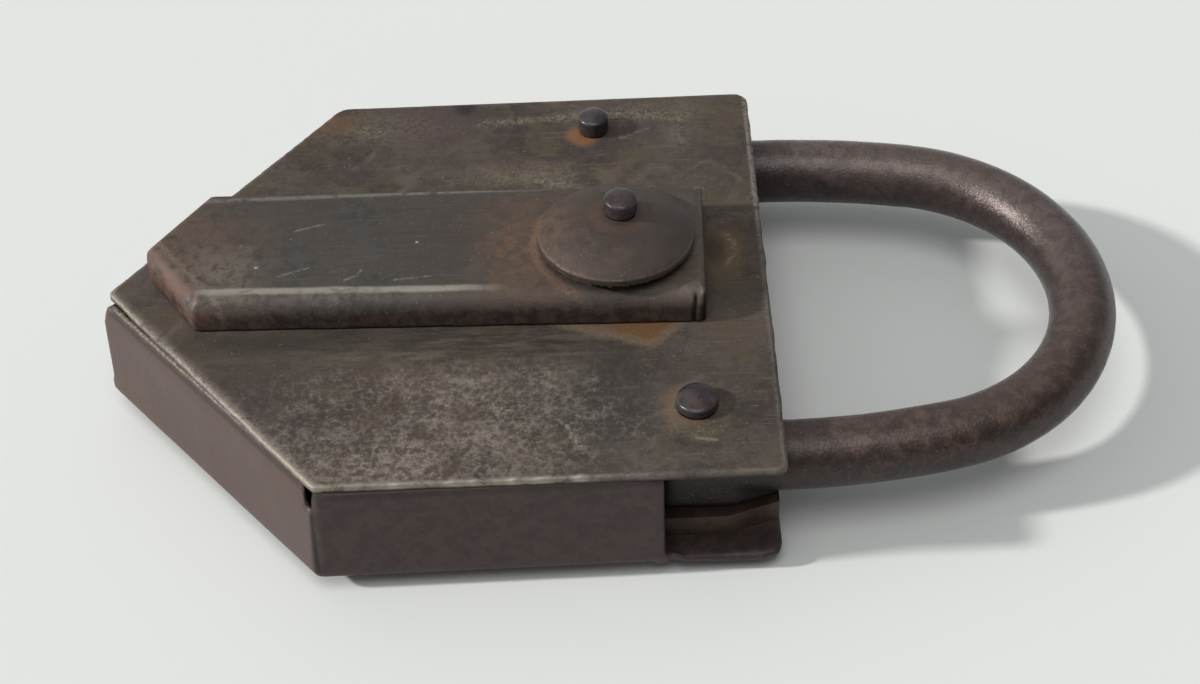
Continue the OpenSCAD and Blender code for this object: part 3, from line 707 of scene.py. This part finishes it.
def rivet_finish():
    f = Finish("rivet_iron")
    patina(f, tone(48, 42, 43), tone(78, 72, 74), seed=18.0, size=4.0, rough=0.2)
    f.lay(f.tint.rise(0.54, 0.66) * 0.5, tone(84, 62, 50), 0.5, 0.1)
    f.lay(f.proud.rise(0.05, 0.16) * f.grain.rise(0.38, 0.58) * 0.5, tone(128, 124, 126), 0.26, 0.7)
    return f.close(relief(f), 0.09)


def hidden_finish(name, dark, pale, rust):
    """Iron inside the case, its rust as strong as it is given."""
    f = Finish(name)
    patina(f, dark, pale, seed=len(name), size=7.0)
    f.lay(f.noise(3.0, 5.0, 0.6, seed=61).rise(0.5, 0.66) * rust, DEEP_RUST, 0.8, 0.0)
    return f.close(relief(f), 0.08)


def dress(piece, material):
    """Gives a piece one material on every face."""
    slots = piece.data.materials
    if len(slots) == 0:
        slots.append(material)
    for index in range(len(slots)):
        slots[index] = material


# ---------------------------------------------------------------- the lock


dress(worn("back_tray", "case", 0.65, shaping=tray_shaping), tray_finish())
dress(worn("front_plate", "case", 0.46, passes=1, dent=0.08, shaping=plate_shaping),
      plate_finish())
dress(worn("keyhole_cover", "cover", 0.34, passes=1, shaping=cover_shaping),
      cover_finish())
dress(worn("cover_washer", "case", 0.25, passes=4, dent=0.08, dent_size=5.0),
      washer_finish())
dress(worn("shackle", "shackle_body", 0.5, passes=7, dent=0.12, dent_size=9.0, pit=0.04),
      shackle_finish())
rivet_iron = rivet_finish()
for rivet in ("hinge_rivet", "toe_rivet", "tip_rivet", "cover_rivet"):
    dress(worn(rivet, "case", 0.25, passes=5, dent=0.15, dent_size=2.5, pit=0.05,
               pit_size=1.0), rivet_iron)

inner_iron = hidden_finish("inner_iron", tone(58, 48, 44), tone(84, 70, 62), 0.8)
for node in ("hinge_block", "toe_block", "toe_collar", "tip_collar", "lower_collar", "upper_collar",
             "bolt_guide", "spring_post", "key_pin"):
    dress(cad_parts[node], inner_iron)
bolt_iron = hidden_finish("bolt_iron", tone(84, 78, 74), tone(118, 110, 102), 0.5)
dress(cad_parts["bolt"], bolt_iron)
spring_steel = hidden_finish("spring_steel", tone(70, 68, 70), tone(102, 98, 96), 0.4)
dress(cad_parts["back_spring"], spring_steel)
ward_iron = hidden_finish("ward_iron", tone(66, 58, 52), tone(92, 82, 72), 0.7)
for node in ("lower_ward", "upper_ward"):
    dress(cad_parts[node], ward_iron)


# ---------------------------------------------------------------- floor, lamps and camera


FLOOR_HALF = 20.0   # metres from the middle of the floor to its edge

# Where the camera stands from the case frame's origin, in millimetres, and how it is turned, in radians
CAMERA_PLACE = Vector((-29.491, -307.018, 305.626))
CAMERA_AZIMUTH, CAMERA_DIP, CAMERA_ROLL = -0.0002, 0.7732, -0.0393


def make_floor():
    shape = bmesh.new()
    bmesh.ops.create_grid(shape, x_segments=1, y_segments=1, size=FLOOR_HALF)
    mesh = bpy.data.meshes.new("floor")
    shape.to_mesh(mesh)
    shape.free()
    floor = bpy.data.objects.new("floor", mesh)
    bpy.context.scene.collection.objects.link(floor)
    paint = bpy.data.materials.new("floor_paint")
    paint.use_nodes = True
    shader = paint.node_tree.nodes["Principled BSDF"]
    shader.inputs["Base Color"].default_value = tone(218, 220, 217)
    shader.inputs["Roughness"].default_value = 0.9
    mesh.materials.append(paint)


def make_sun(name, azimuth, elevation, strength, softness, colour):
    """A lamp that shines from an azimuth, counted from -X towards -Y, and an elevation."""
    lamp = bpy.data.lights.new(name, "SUN")
    lamp.energy = strength
    lamp.angle = math.radians(softness)
    lamp.color = colour
    sun = bpy.data.objects.new(name, lamp)
    turn, lift = math.radians(azimuth), math.radians(elevation)
    source = Vector((-math.cos(turn) * math.cos(lift), -math.sin(turn) * math.cos(lift),
                     math.sin(lift)))
    sun.rotation_euler = source.to_track_quat("Z", "Y").to_euler()
    bpy.context.scene.collection.objects.link(sun)


def make_world():
    """A studio that is lightest above the far left and darker towards the near right."""
    lightest = Vector((-0.6, 0.4, 0.7)).normalized()
    world = bpy.data.worlds.new("studio")
    world.use_nodes = True
    tree = world.node_tree
    tree.nodes.clear()
    ways = add_node(tree, "ShaderNodeTexCoord")
    facing = add_node(tree, "ShaderNodeVectorMath", {"operation": "DOT_PRODUCT"},
                      {0: ways.outputs["Generated"], 1: lightest})
    level = add_node(tree, "ShaderNodeMapRange", {}, {
        "Value": facing.outputs["Value"], "From Min": -0.4, "To Min": 0.08, "To Max": 0.62})
    back = add_node(tree, "ShaderNodeBackground", {}, {
        "Color": tone(240, 242, 245), "Strength": level.outputs[0]})
    add_node(tree, "ShaderNodeOutputWorld", {}, {"Surface": back.outputs[0]})
    bpy.context.scene.world = world


def make_camera():
    level = math.cos(CAMERA_DIP)
    ahead = Vector((math.sin(CAMERA_AZIMUTH) * level, math.cos(CAMERA_AZIMUTH) * level,
                    -math.sin(CAMERA_DIP)))
    right = ahead.cross(Vector((0, 0, 1))).normalized()
    up = right.cross(ahead)
    right, up = (right * math.cos(CAMERA_ROLL) + up * math.sin(CAMERA_ROLL),
                 up * math.cos(CAMERA_ROLL) - right * math.sin(CAMERA_ROLL))
    turn = Matrix((right, up, -ahead)).transposed().to_4x4()
    lens = bpy.data.cameras.new("camera")
    lens.lens = 72.05
    lens.sensor_width = 36.0
    lens.clip_start = 0.01
    camera = bpy.data.objects.new("camera", lens)
    camera.matrix_world = Matrix.Translation(ORIGIN + CAMERA_PLACE * MM) @ turn
    bpy.context.scene.collection.objects.link(camera)
    bpy.context.scene.camera = camera


make_floor()
make_sun("window", 5, 30, 2.7, 4, (1.0, 0.99, 0.97))
make_sun("ceiling", 80, 72, 1.0, 35, (1.0, 1.0, 1.0))
make_world()
make_camera()
bpy.context.scene.view_settings.view_transform = "Standard"
